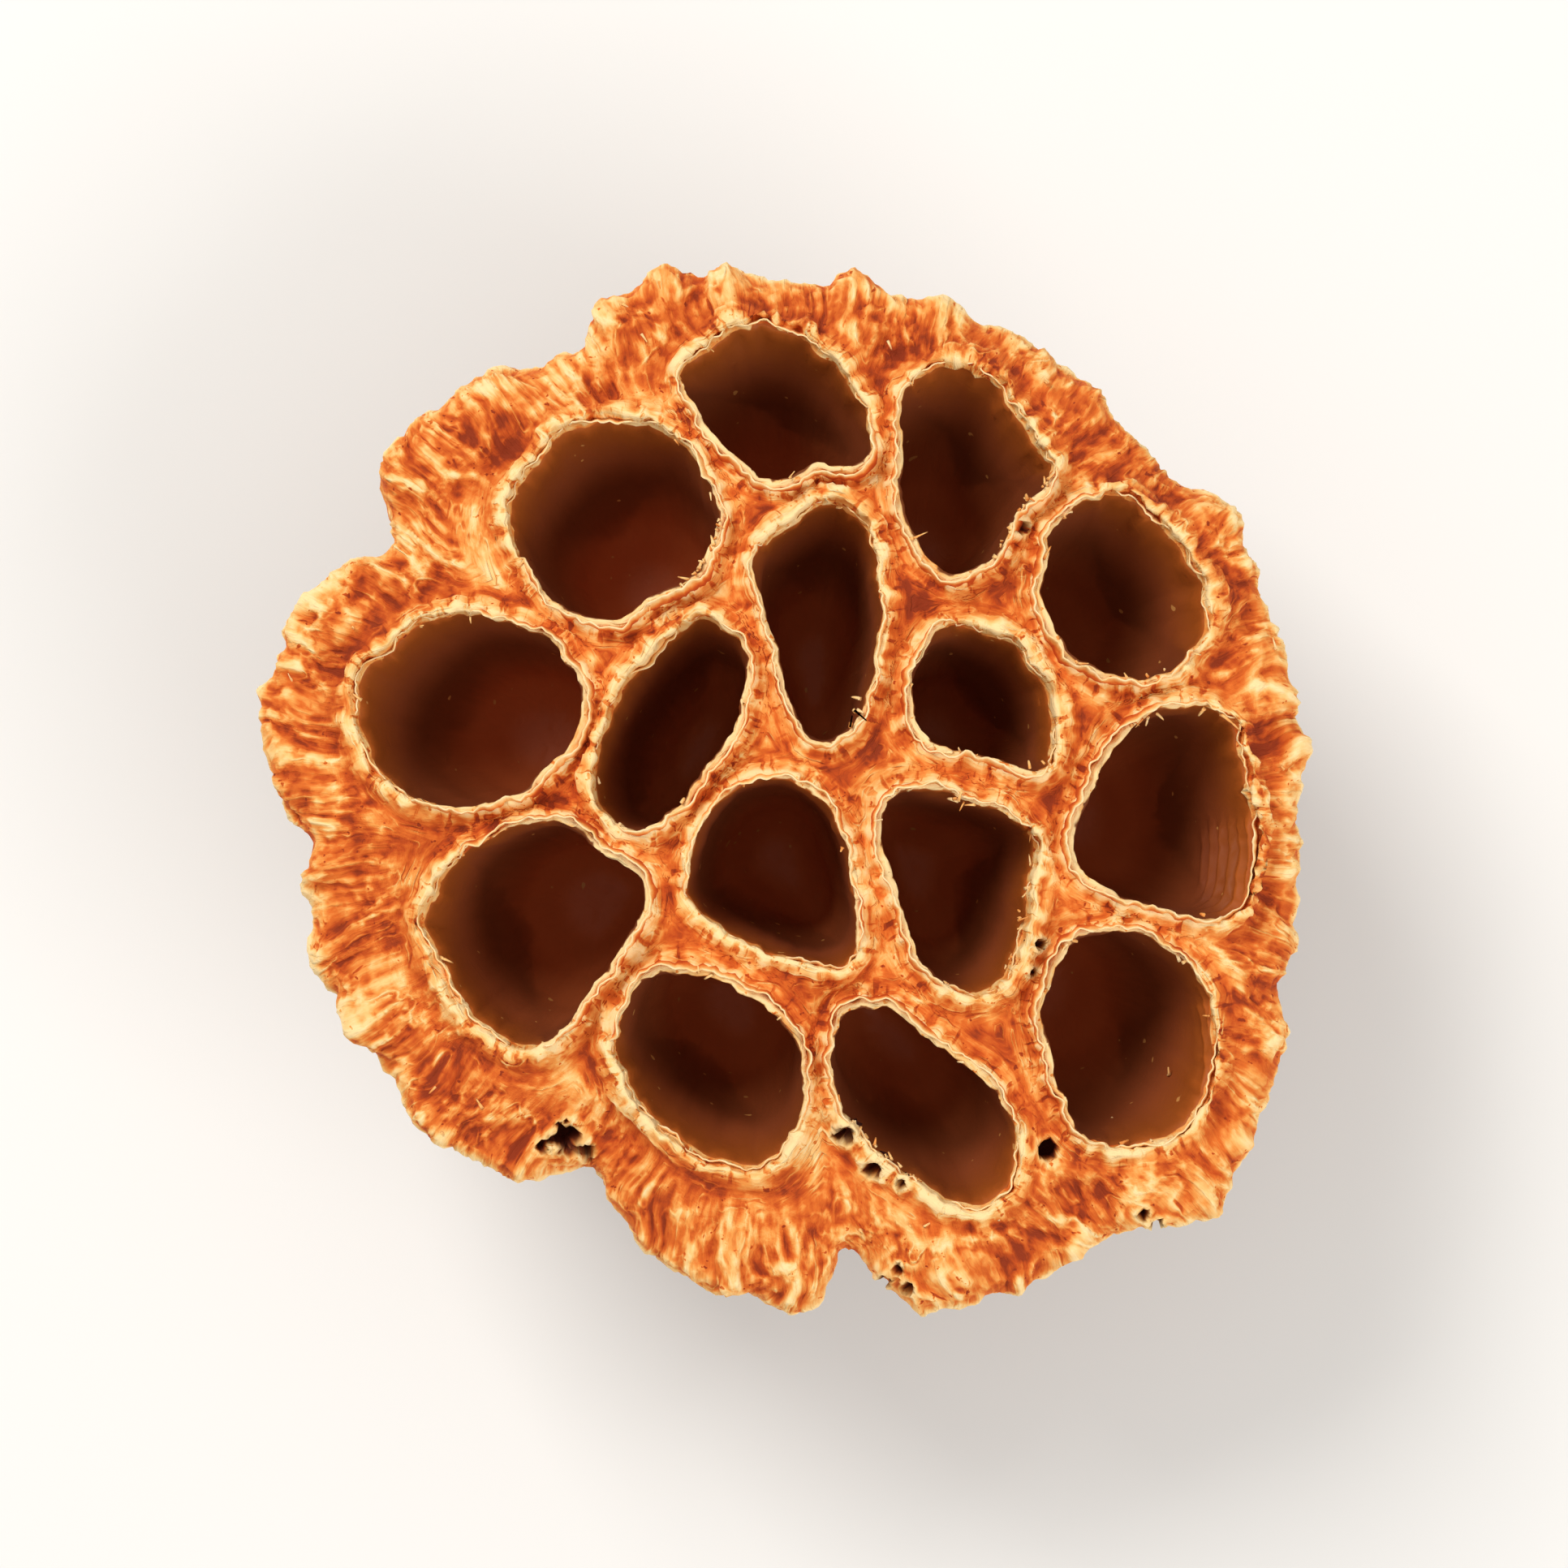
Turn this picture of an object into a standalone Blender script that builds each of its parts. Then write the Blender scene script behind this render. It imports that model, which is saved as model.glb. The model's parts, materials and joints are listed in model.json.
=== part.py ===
"""Dried lotus pod, standing face up on its cut stem.

One solid: an inverted cone with a crumpled rim, whose face holds fifteen open seed cells with thin raised lips.
The script is in metres, +Z up, with its origin at the middle of the flat cut stem that the pod stands on.
Run it with blender --background --python part.py, or from Blender's text editor.
"""

import math

import bmesh
import bpy
from mathutils import Vector, noise

MM = 0.001

# Driving dimensions
POD_RADIUS = 40 * MM
POD_HEIGHT = 37 * MM
STEM_RADIUS = 8.6 * MM
SPOKES = 104
LAYOUT_SHIFT = Vector((0.6 * MM, -0.3 * MM, 0.0))

# The turned outline, as (radius, height): over the face, round the rim and down the flank to the cut stem
FACE_PROFILE = [(0, 37.0), (14, 36.6), (25, 35.6), (33, 34.5), (37.2, 34.1)]
RIM_PROFILE = [(39.2, 33.6), (40, 32.2), (39.7, 30.6), (38.5, 28.6)]
FLANK_PROFILE = [(36.2, 25.6), (33.0, 21.8), (29.0, 17.8), (24.4, 13.9), (19.8, 10.3), (15.8, 7.3), (12.9, 5.0)]
FOOT_PROFILE = [(11.6, 3.6), (10.9, 2.4), (9.6, 0.9)]

# The rim's radius every 15 degrees, from +X towards +Y, and its narrow notches as (angle, depth, half width)
RIM_RADII = [39.6, 39.1, 39.2, 38.5, 39.3, 38.6, 39.4, 40.2, 38.8, 39.4, 37.9, 40.8,
             39.6, 38.2, 37.5, 36.8, 36.0, 37.3, 38.6, 41.4, 42.2, 45.0, 43.2, 40.3]
RIM_NOTCHES = [(46, 1.2, 4), (116, 1.6, 4), (148.5, 2.4, 4.5), (188, 2.2, 5), (243, 3.0, 4), (277.5, 6.0, 3.4),
               (302.5, 2.4, 4), (337, 1.5, 4)]

# Each cell's mouth, as points of one smooth closed outline on the face
CELL_MOUTHS = {
    "west_upper": [(-16.4, 28.0), (-10.4, 27.6), (-7.4, 24.0), (-5.9, 20.0), (-8.5, 15.6), (-14.4, 12.8),
                   (-19.0, 14.9), (-21.8, 20.2), (-20.2, 25.2)],
    "west": [(-26.6, 13.3), (-20.0, 12.0), (-16.3, 7.6), (-17.4, 3.0), (-22.0, -0.8), (-28.2, -1.2),
             (-32.8, 2.4), (-33.6, 7.8), (-30.6, 11.4)],
    "west_inner": [(-7.2, 12.8), (-4.0, 10.6), (-4.0, 6.6), (-6.8, 1.6), (-10.4, -2.8), (-13.8, -2.7),
                   (-15.3, 0.6), (-14.2, 5.8), (-10.6, 10.7)],
    "north_inner": [(3.0, 22.0), (5.6, 18.6), (6.2, 12.6), (4.9, 6.6), (3.0, 3.5), (0.4, 4.2), (-1.0, 8.6),
                    (-2.9, 14.0), (-2.4, 18.8)],
    "north": [(-8.8, 30.9), (-5.6, 26.0), (-2.4, 23.4), (1.6, 24.4), (5.5, 25.0), (4.6, 30.0), (1.4, 34.0),
              (-3.0, 35.4), (-7.0, 33.6)],
    "north_east": [(8.0, 29.4), (10.6, 32.3), (14.4, 32.0), (17.0, 28.1), (19.6, 24.2), (17.0, 21.4),
                   (14.6, 17.2), (10.9, 16.4), (8.2, 21.0)],
    "east_upper": [(23.3, 22.4), (27.6, 20.5), (30.8, 15.6), (30.2, 10.6), (25.6, 8.2), (20.8, 9.8),
                   (18.6, 14.2), (19.4, 19.4)],
    "east_inner": [(12.0, 12.3), (16.4, 11.2), (19.4, 6.6), (19.0, 1.6), (15.2, 2.1), (10.2, 3.3), (8.6, 6.4),
                   (9.7, 10.5)],
    "east": [(25.6, 5.0), (32.2, 6.0), (34.2, 0.8), (34.6, -5.0), (33.0, -9.4), (27.8, -9.2), (22.6, -7.2),
             (20.9, -4.4), (22.6, 0.6)],
    "east_lower": [(20.8, -11.4), (25.2, -10.9), (30.4, -14.4), (31.6, -19.0), (29.8, -25.0), (25.4, -27.0),
                   (21.4, -25.8), (18.6, -18.8), (19.0, -14.6)],
    "centre_east": [(6.5, -0.8), (11.0, -0.7), (18.0, -3.2), (17.4, -8.4), (16.3, -13.6), (13.0, -15.6),
                    (9.8, -13.8), (7.4, -8.0)],
    "centre_west": [(-4.0, 0.2), (0.2, 0.2), (3.0, -3.2), (4.6, -11.0), (2.6, -13.6), (-2.2, -12.2),
                    (-8.0, -8.9), (-8.0, -5.2), (-6.4, -1.6)],
    "south_west": [(-18.2, -2.6), (-14.8, -4.9), (-11.5, -6.6), (-12.4, -11.2), (-16.2, -16.2), (-20.0, -19.7),
                   (-25.2, -17.0), (-28.1, -10.4), (-25.4, -5.0)],
    "south": [(-11.6, -14.6), (-6.6, -14.2), (-1.8, -16.8), (0.5, -21.6), (-1.6, -27.8), (-6.2, -28.2),
              (-11.4, -24.4), (-13.8, -19.6)],
    "south_east": [(3.4, -17.0), (6.4, -16.4), (11.0, -19.6), (15.2, -23.2), (16.8, -27.6), (14.4, -31.7),
                   (9.4, -30.0), (3.8, -25.0), (2.8, -20.6)],
}
MOUTH_POINTS = 26

# The cells narrow and lean towards the stem: depth, share of the mouth's distance from the axis lost at the bottom
CELL_DEPTH_AT_AXIS = 22 * MM
CELL_DEPTH_AT_RIM = 17 * MM
CELL_LEAN = 0.22
CELL_LEVELS = [0.0, 0.3, 0.62, 0.86, 1.0]
CELL_FLOOR_SHARE = 0.42

# The papery lip round each mouth
LIP_HEIGHT = 1.3 * MM
LIP_CREST_WIDTH = 0.55 * MM
LIP_FOOT_WIDTH = 1.35 * MM
LIP_ROOT_DEPTH = 2.5 * MM
CUT_CLEARANCE = 3 * MM

# Crumpling of the rim and wrinkles of the flank
RIM_CRUMPLE = 1.1 * MM
FLANK_WRINKLE = 0.75 * MM
CELL_BULGE = 1.9 * MM
FOOT_SCAR = 0.3 * MM
SCAR_COUNT = 28

SKIN_COLOUR = (0.66, 0.26, 0.07, 1.0)
CELL_COLOUR = (0.16, 0.045, 0.015, 1.0)


def clear_scene():
    for obj in list(bpy.data.objects):
        bpy.data.objects.remove(obj, do_unlink=True)


def make_material(name, colour, roughness):
    """A plain Principled BSDF in the given colour."""
    material = bpy.data.materials.new(name)
    material.use_nodes = True
    shader = material.node_tree.nodes["Principled BSDF"]
    shader.inputs["Base Color"].default_value = colour
    shader.inputs["Roughness"].default_value = roughness
    shader.inputs["Metallic"].default_value = 0.0
    material.diffuse_color = colour
    return material


def make_collection(name):
    collection = bpy.data.collections.new(name)
    bpy.context.scene.collection.children.link(collection)
    return collection


def smooth_step(low, high, value):
    share = min(1.0, max(0.0, (value - low) / (high - low)))
    return share * share * (3 - 2 * share)


def bump(distance, half_width):
    """A bell that is 1 at distance 0 and fades within about half_width."""
    return math.exp(-((distance / half_width) ** 2))


def turn_between(angle, other):
    """The smallest turn between two angles in degrees."""
    return abs((angle - other + 180) % 360 - 180)


def face_height(x, y):
    """Height of the gently domed face at a point."""
    radius = math.hypot(x, y) / MM
    for (r0, z0), (r1, z1) in zip(FACE_PROFILE, FACE_PROFILE[1:]):
        if radius <= r1:
            return (z0 + (z1 - z0) * (radius - r0) / (r1 - r0)) * MM
    return FACE_PROFILE[-1][1] * MM


def rim_radius(angle):
    """The rim's radius at an angle in degrees: the table's values joined smoothly, less the notches."""
    step = 360 / len(RIM_RADII)
    place = (angle % 360) / step
    index = int(place)
    p0, p1, p2, p3 = (RIM_RADII[(index + k) % len(RIM_RADII)] for k in (-1, 0, 1, 2))
    t = place - index
    radius = 0.5 * (2 * p1 + (p2 - p0) * t + (2 * p0 - 5 * p1 + 4 * p2 - p3) * t**2
                    + (3 * p1 - p0 - 3 * p2 + p3) * t**3)
    for notch, depth, half_width in RIM_NOTCHES:
        radius -= depth * bump(turn_between(angle, notch), half_width)
    return radius * MM


def closed_outline(points, count):
    """Count points, evenly spaced, along the smooth closed curve through the given points."""
    fine = []
    n = len(points)
    for i in range(n):
        p0, p1, p2, p3 = (Vector(points[(i + k) % n]) for k in (-1, 0, 1, 2))
        for step in range(24):
            t = step / 24
            fine.append(0.5 * (2 * p1 + (p2 - p0) * t + (2 * p0 - 5 * p1 + 4 * p2 - p3) * t**2
                               + (3 * p1 - p0 - 3 * p2 + p3) * t**3))
    lengths = [0.0]
    for a, b in zip(fine, fine[1:] + fine[:1]):
        lengths.append(lengths[-1] + (b - a).length)
    outline = []
    index = 0
    for k in range(count):
        target = lengths[-1] * k / count
        while lengths[index + 1] < target:
            index += 1
        share = (target - lengths[index]) / (lengths[index + 1] - lengths[index])
        outline.append(fine[index].lerp(fine[(index + 1) % len(fine)], share))
    area = sum(a.x * b.y - b.x * a.y for a, b in zip(outline, outline[1:] + outline[:1]))
    return outline if area > 0 else outline[::-1]


def mouth_outline(name):
    """A cell's mouth on the face, anticlockwise, in metres."""
    outline = closed_outline(CELL_MOUTHS[name], MOUTH_POINTS)
    return [Vector((p.x * MM, p.y * MM)) + LAYOUT_SHIFT.xy for p in outline]


def widened(outline, width):
    """The outline moved outwards by width."""
    n = len(outline)
    moved = []
    for i, p in enumerate(outline):
        along = (outline[(i + 1) % n] - outline[i - 1]).normalized()
        moved.append(p + Vector((along.y, -along.x)) * width)
    return moved


def centre_of(outline):
    return sum(outline, Vector((0, 0))) / len(outline)


def loft(name, rings, material, collection):
    """A closed solid through rings of equally many points, listed from the bottom up, with flat ends."""
    mesh = bmesh.new()
    loops = [[mesh.verts.new(p) for p in ring] for ring in rings]
    for low, high in zip(loops, loops[1:]):
        for i in range(len(low)):
            j = (i + 1) % len(low)
            mesh.faces.new((low[i], low[j], high[j], high[i]))
    mesh.faces.new(loops[0][::-1])
    mesh.faces.new(loops[-1])
    data = bpy.data.meshes.new(name)
    mesh.to_mesh(data)
    mesh.free()
    data.materials.append(material)
    obj = bpy.data.objects.new(name, data)
    collection.objects.link(obj)
    return obj


def add_lip(name, material, collection):
    """The raised lip round a cell's mouth, as a plug that the cell is later cut through."""
    mouth = mouth_outline(name)
    crest = widened(mouth, LIP_CREST_WIDTH)
    foot = widened(mouth, LIP_FOOT_WIDTH)
    phase = len(name)
    top = []
    for i, p in enumerate(crest):
        wave = 0.25 * math.sin(5 * math.tau * i / MOUTH_POINTS + phase)
        top.append((p.x, p.y, face_height(p.x, p.y) + LIP_HEIGHT * (1 + wave)))
    root = [(p.x, p.y, face_height(p.x, p.y) - LIP_ROOT_DEPTH) for p in foot]
    shoulder = [(p.x, p.y, face_height(p.x, p.y) + 0.15 * LIP_HEIGHT) for p in foot]
    return loft("lip_" + name, [root, shoulder, top], material, collection)


def cell_depth(centre):
    share = min(1.0, centre.length / POD_RADIUS)
    return CELL_DEPTH_AT_AXIS + (CELL_DEPTH_AT_RIM - CELL_DEPTH_AT_AXIS) * share


def cell_section(mouth, level, centre, floor_to_top):
    """The cell's outline at a level from 0 at the mouth to 1 at the bottom: leaning in and rounding off."""
    lean = 1 - CELL_LEAN * level
    rounded = CELL_FLOOR_SHARE + (1 - CELL_FLOOR_SHARE) * math.sqrt(1 - level**3)
    height = face_height(centre.x, centre.y) - level * floor_to_top
    section = []
    for p in mouth:
        q = centre * lean + (p - centre) * lean * rounded
        section.append((q.x, q.y, height))
    return section


def add_cell_cutter(name, material, collection):
    """The empty space of one seed cell, from above its lip to its rounded floor."""
    mouth = mouth_outline(name)
    centre = centre_of(mouth)
    depth = cell_depth(centre)
    rings = [cell_section(mouth, level, centre, depth) for level in reversed(CELL_LEVELS)]
    rings.append([(p.x, p.y, POD_HEIGHT + CUT_CLEARANCE) for p in mouth])
    cutter = loft("cell_" + name, rings, material, collection)
    cutter.hide_render = True
    cutter.display_type = "WIRE"
    return cutter


def turned_body(material, collection):
    """The pod before its cells: the profile turned about the axis."""
    profile = FACE_PROFILE + RIM_PROFILE + FLANK_PROFILE + FOOT_PROFILE + [(STEM_RADIUS / MM, 0), (0, 0)]
    outline = bpy.data.meshes.new("pod_profile")
    points = [(radius * MM, 0, height * MM) for radius, height in profile]
    outline.from_pydata(points, [(i, i + 1) for i in range(len(points) - 1)], [])
    guide = bpy.data.objects.new("pod_profile", outline)
    collection.objects.link(guide)
    screw = guide.modifiers.new("turn", "SCREW")
    screw.steps = SPOKES
    screw.render_steps = SPOKES
    screw.use_merge_vertices = True
    screw.merge_threshold = 0.00001
    bpy.context.view_layer.update()
    evaluated = guide.evaluated_get(bpy.context.evaluated_depsgraph_get())
    data = bpy.data.meshes.new_from_object(evaluated)
    data.name = "lotus_pod"
    data.materials.clear()
    data.materials.append(material)
    bpy.data.objects.remove(guide, do_unlink=True)
    pod = bpy.data.objects.new("lotus_pod", data)
    collection.objects.link(pod)
    return pod


def outer_cells():
    """(angle in degrees, distance from the axis) of each cell next to the rim."""
    found = []
    for name in CELL_MOUTHS:
        centre = centre_of(mouth_outline(name))
        if centre.length > 0.5 * POD_RADIUS:
            found.append((math.degrees(math.atan2(centre.y, centre.x)), centre.length))
    return found


def wrinkle_body(pod):
    """Gives the turned body its uneven outline, crumpled rim, lumps over the cells and drawn-in flank."""
    face_edge = FACE_PROFILE[-2][0] * MM
    rim_height = RIM_PROFILE[1][1] * MM
    neck_height = FLANK_PROFILE[-1][1] * MM
    cells = outer_cells()
    for vertex in pod.data.vertices:
        p = vertex.co
        radius = math.hypot(p.x, p.y)
        if radius < 1e-6 or p.z <= 0:
            continue
        angle = math.degrees(math.atan2(p.y, p.x))
        outward = Vector((p.x, p.y, 0)) / radius
        on_flank = p.z < rim_height
        spread = smooth_step(neck_height, rim_height, p.z) if on_flank else smooth_step(0, POD_RADIUS, radius)
        stretch = 1 + (rim_radius(angle) / POD_RADIUS - 1) * spread

        near_rim = smooth_step(face_edge, POD_RADIUS, radius) * smooth_step(neck_height, rim_height, p.z)
        coarse = noise.noise(outward * 4.5)
        fine = noise.noise(outward * 13 + Vector((0, 0, p.z / (9 * MM))))
        crumple = RIM_CRUMPLE * near_rim * (coarse + 1.6 * fine)
        p_out, p_up = crumple, crumple * 0.9 if not on_flank else 0.0

        if on_flank:
            folds = math.sin(math.radians(angle) * 26 + 3 * noise.noise(outward * 3))
            window = smooth_step(0, neck_height, p.z) * (1 - smooth_step(0.8 * rim_height, rim_height, p.z))
            p_out += FLANK_WRINKLE * window * (0.55 * folds + 0.9 * fine)
            lump_zone = bump(p.z - 0.62 * rim_height, 0.24 * rim_height)
            for cell_angle, distance in cells:
                p_out += CELL_BULGE * lump_zone * bump(turn_between(angle, cell_angle), 13)
            if p.z < neck_height:
                p_out += FOOT_SCAR * math.sin(math.radians(angle) * SCAR_COUNT) * smooth_step(0, neck_height, p.z)

        place = outward * (radius * stretch + p_out)
        vertex.co = (place.x, place.y, p.z + p_up)


def apply_modifiers(obj):
    """Replaces the object's mesh by what its modifiers make of it."""
    bpy.context.view_layer.update()
    evaluated = obj.evaluated_get(bpy.context.evaluated_depsgraph_get())
    data = bpy.data.meshes.new_from_object(evaluated)
    obj.modifiers.clear()
    old = obj.data
    obj.data = data
    bpy.data.meshes.remove(old)
    data.name = obj.name


def join_lips(pod, lips):
    """Fuses the lips to the body, and removes their separate objects."""
    union = pod.modifiers.new("lips", "BOOLEAN")
    union.operation = "UNION"
    union.operand_type = "COLLECTION"
    union.collection = lips
    union.solver = "EXACT"
    apply_modifiers(pod)
    for obj in list(lips.objects):
        bpy.data.objects.remove(obj, do_unlink=True)


def cut_cells(pod, cells):
    """Opens the seed cells, whose walls take the cutters' dark lining."""
    difference = pod.modifiers.new("cells", "BOOLEAN")
    difference.operation = "DIFFERENCE"
    difference.operand_type = "COLLECTION"
    difference.collection = cells
    difference.solver = "EXACT"
    difference.material_mode = "TRANSFER"


def shade(obj):
    obj.data.shade_smooth()
    obj.data.set_sharp_from_angle(angle=math.radians(40))


def main():
    clear_scene()
    part = make_collection("lotus_pod")
    lips = make_collection("lips")
    cells = make_collection("cell_cutters")
    skin = make_material("dried_skin", SKIN_COLOUR, 0.75)
    lining = make_material("cell_lining", CELL_COLOUR, 0.45)

    pod = turned_body(skin, part)
    wrinkle_body(pod)
    for name in CELL_MOUTHS:
        add_lip(name, skin, lips)
        add_cell_cutter(name, lining, cells)
    join_lips(pod, lips)
    shade(pod)
    cut_cells(pod, cells)


main()
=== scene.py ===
"""Dried lotus pod: its crumpled skin, papery lips, torn fibres and dark seed cells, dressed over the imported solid.

Laid out as an add-on and run as a script. Lengths inside the functions are in millimetres unless a name says
otherwise, and everything is placed from the frame.
"""

import json
import math

import bpy
import numpy as np
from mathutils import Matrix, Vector, noise
from mathutils.bvhtree import BVHTree
from mathutils.kdtree import KDTree

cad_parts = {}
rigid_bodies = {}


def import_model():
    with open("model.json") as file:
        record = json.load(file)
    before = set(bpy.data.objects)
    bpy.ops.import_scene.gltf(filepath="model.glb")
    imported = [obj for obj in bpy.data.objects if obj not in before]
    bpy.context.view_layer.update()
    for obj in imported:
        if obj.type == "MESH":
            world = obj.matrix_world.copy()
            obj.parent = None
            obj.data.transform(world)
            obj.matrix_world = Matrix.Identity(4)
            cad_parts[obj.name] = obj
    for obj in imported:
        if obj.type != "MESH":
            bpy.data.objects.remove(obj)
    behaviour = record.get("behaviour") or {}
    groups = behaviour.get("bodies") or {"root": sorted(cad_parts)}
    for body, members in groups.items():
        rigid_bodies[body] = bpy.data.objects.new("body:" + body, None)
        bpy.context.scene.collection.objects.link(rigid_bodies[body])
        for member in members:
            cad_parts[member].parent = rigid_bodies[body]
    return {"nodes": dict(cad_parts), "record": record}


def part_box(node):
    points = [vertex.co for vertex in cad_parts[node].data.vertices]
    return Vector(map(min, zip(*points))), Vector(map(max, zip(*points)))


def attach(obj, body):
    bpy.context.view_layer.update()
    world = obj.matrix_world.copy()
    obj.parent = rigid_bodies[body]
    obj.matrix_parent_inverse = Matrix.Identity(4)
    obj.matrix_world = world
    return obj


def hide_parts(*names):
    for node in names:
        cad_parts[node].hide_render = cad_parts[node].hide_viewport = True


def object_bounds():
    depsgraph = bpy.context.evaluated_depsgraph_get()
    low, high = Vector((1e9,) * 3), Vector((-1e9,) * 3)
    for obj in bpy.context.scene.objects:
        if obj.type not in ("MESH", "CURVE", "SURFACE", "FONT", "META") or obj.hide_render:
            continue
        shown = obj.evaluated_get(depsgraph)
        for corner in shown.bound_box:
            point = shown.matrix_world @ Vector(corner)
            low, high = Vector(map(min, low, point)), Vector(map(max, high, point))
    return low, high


bl_info = {
    "name": "Dried lotus pod",
    "version": (1, 0, 0),
    "blender": (4, 5, 0),
    "location": "View3D > Sidebar > Lotus pod",
    "description": "Models a dried lotus pod's skin, lips and fibres over its solid, and a plain studio for it",
    "category": "Object",
}

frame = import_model()
CAD_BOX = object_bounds()
NODE = "lotus_pod"
BODY = "root"

MM = 0.001
POD_LOW, POD_HIGH = (Vector(corner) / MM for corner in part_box(NODE))
RIM_RADIUS = (POD_HIGH.x - POD_LOW.x) / 2
TOP_CLEARANCE = 0.02  # how far the lips and shreds stay under the solid's top
ABOVE = POD_HIGH.z + 5  # where rays that look down on the face start
CELL_BOTTOM = 13.0
SHOULDER = 28.0  # above this the rim's outer part holds no cell
RIM_DROP = 4.0  # how far the rim's edge lies under the top of the face
PEEL_EDGE = 5.6  # mean depth of the peeled band's ragged lower edge below the rim
MOUTH_SPACING = 0.22
LIP_STEP = 0.2  # height of each strip of a lip before it is torn
SHREDS_A_STRETCH = 14
SHRED_SEED = 7

# Holes worn or torn into the rim and the webs: x, y, radius, depth
HOLES = {
    "south west pit": (-16.8, -26.6, 1.15, 2.6),
    "south west tear": (-15.3, -27.6, 0.6, 1.8),
    "south west crumb": (-18.6, -27.2, 0.5, 1.2),
    "east tear": (33.3, -2.4, 1.3, 2.6),
    "east tear end": (34.0, -4.6, 0.8, 1.8),
    "south bubble": (4.0, -26.3, 0.75, 1.8),
    "south bubble end": (6.2, -28.9, 0.7, 1.6),
    "south bubble tail": (8.4, -30.0, 0.45, 1.2),
    "south east pit": (19.5, -27.4, 0.8, 2.0),
    "rim pit": (26.6, -32.3, 0.45, 1.2),
    "rim pit below": (27.7, -33.1, 0.45, 1.2),
    "rim blister": (7.2, -37.3, 0.5, 1.0),
    "rim blister beside": (9.0, -37.8, 0.45, 1.0),
    "rim blister between": (8.2, -36.4, 0.4, 0.9),
    "web slit": (18.8, -12.0, 0.45, 1.2),
    "web slit end": (18.2, -14.0, 0.4, 1.0),
    "north east crumb": (17.4, 19.4, 0.55, 1.2),
}

# Stretches of lip that are frayed most: x, y, reach
FRAYED = (
    (17.4, 20.0, 4.0), (26.0, 8.6, 4.5), (11.5, -1.2, 4.5), (6.5, -28.4, 3.5), (-6.0, 17.5, 3.5), (18.0, -11.0, 3.5))
# The longest loose strands: x, y, length
STRANDS = ((4.0, 4.8, 2.4), (4.6, 5.6, 1.9), (33.0, 5.9, 2.0))

# The studio, in metres and watts. Each light: place, size, power, colour
LIGHTS = {
    "key": ((-0.35, 0.42, 0.62), 0.35, 4.3, (1.0, 0.975, 0.94)),
    "fill": ((0.55, -0.45, 0.55), 0.6, 3.7, (1.0, 0.99, 0.97)),
}
FLOOR_SIZE = 6
SKY_COLOUR = (1.0, 0.99, 0.97, 1.0)
SKY_STRENGTH = 0.60
NEAREST_SEEN, FARTHEST_SEEN = 0.01, 20


class LotusPodSurface(bpy.types.PropertyGroup):
    """Sizes of the modelled surface."""

    voxel: bpy.props.FloatProperty(
        name="Voxel", description="Size of the grid that the surface is first rebuilt on", default=0.26 * MM,
        min=0.1 * MM, unit="LENGTH")
    triangles: bpy.props.IntProperty(
        name="Triangles", description="How many triangles the finished skin keeps", default=194000, min=10000)
    pleat: bpy.props.FloatProperty(
        name="Pleats", description="Height of the short folds that run across the rim", default=0.40 * MM,
        unit="LENGTH")
    lump: bpy.props.FloatProperty(
        name="Lumps", description="Height of the broad lumps of the rim", default=0.55 * MM, unit="LENGTH")
    crumple: bpy.props.FloatProperty(
        name="Crumple", description="Height of the creases all over the face", default=0.21 * MM, unit="LENGTH")
    fibre: bpy.props.FloatProperty(
        name="Flank fibres", description="Height of the fibres down the flank", default=0.26 * MM, unit="LENGTH")
    lip_height: bpy.props.FloatProperty(
        name="Lip height", description="Mean height of the papery lips over the skin", default=0.52 * MM,
        unit="LENGTH")
    lip_thickness: bpy.props.FloatProperty(
        name="Lip thickness", description="Thickness of the papery lips at their root", default=0.30 * MM,
        unit="LENGTH")
    shreds: bpy.props.IntProperty(
        name="Shreds", description="How many torn fibres stand on the lips and the rim", default=90, min=1)


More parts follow.
